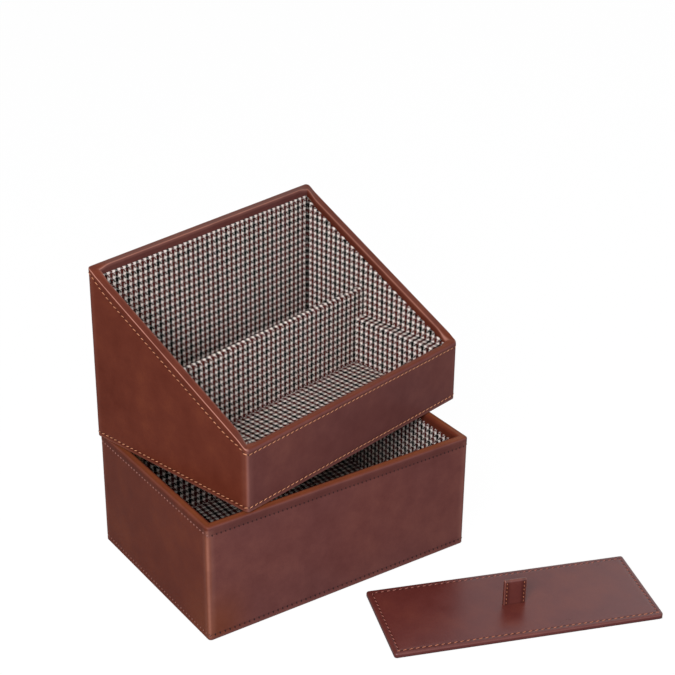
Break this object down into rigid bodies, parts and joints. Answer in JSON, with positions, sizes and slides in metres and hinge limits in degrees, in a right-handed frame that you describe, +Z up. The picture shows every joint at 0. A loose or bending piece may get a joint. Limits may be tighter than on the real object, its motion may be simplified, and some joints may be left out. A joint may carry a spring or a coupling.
{
  "type": "mens valet box with drawer",
  "caption": "Leather valet box: a sloped two compartment tray swivels on a lined lower drawer box, with a loose lid for the tray's front compartment.",
  "frame": {"origin": "centre of the drawer box's underside, where it stands on the table", "axes": "+X right along the drawer box's front, +Y to its back, +Z up"},
  "size_m": [0.2508, 0.2881, 0.1839],
  "materials": {
    "leather": "smooth waxed leather, reddish brown, satin",
    "check_cloth": "woven small check in cream, black, dark red and dark green",
    "fibreboard": "raw medium density board",
    "felt": "dark brown felt",
    "hardwood": "planed beech",
    "brass": "turned brass",
    "steel": "zinc plated steel",
    "nylon": "natural nylon"
  },
  "bodies": {
    "drawer_box": {"box_back_board": "fibreboard", "box_back_lining": "check_cloth", "box_base_felt": "felt", "box_floor_board": "fibreboard", "box_floor_lining": "check_cloth", "box_front_board": "fibreboard", "box_front_lining": "check_cloth", "box_leather_cover": "leather", "box_left_board": "fibreboard", "box_left_lining": "check_cloth", "box_right_board": "fibreboard", "box_right_lining": "check_cloth", "corner_block": "hardwood", "glide_washer": "nylon", "pivot_bush": "brass"},
    "tray": {"divider_board": "fibreboard", "divider_cover": "check_cloth", "lid_ledge_left": "check_cloth", "lid_ledge_right": "check_cloth", "lock_nut": "steel", "pivot_bolt": "steel", "tray_back_board": "fibreboard", "tray_back_lining": "check_cloth", "tray_base_felt": "felt", "tray_floor_board": "fibreboard", "tray_front_board": "fibreboard", "tray_front_floor_lining": "check_cloth", "tray_front_lining": "check_cloth", "tray_leather_cover": "leather", "tray_left_board": "fibreboard", "tray_left_lining": "check_cloth", "tray_rear_floor_lining": "check_cloth", "tray_right_board": "fibreboard", "tray_right_lining": "check_cloth"},
    "lid": {"lid_board": "fibreboard", "lid_leather_cover": "leather", "lid_lining_cloth": "check_cloth", "lid_pull_tab": "leather"}
  },
  "joints": [
    {"name": "tray_swivel", "type": "hinge", "parent": "drawer_box", "child": "tray", "pos_m": [-0.078, 0.0505, 0.075], "axis": [0, 0, 1], "range_deg": [-13.36, 61.64]},
    {"name": "lid_lift", "type": "slide", "parent": "drawer_box", "child": "lid", "axis": [0, 0, 1], "range_m": [0, 0.14]}
  ]
}
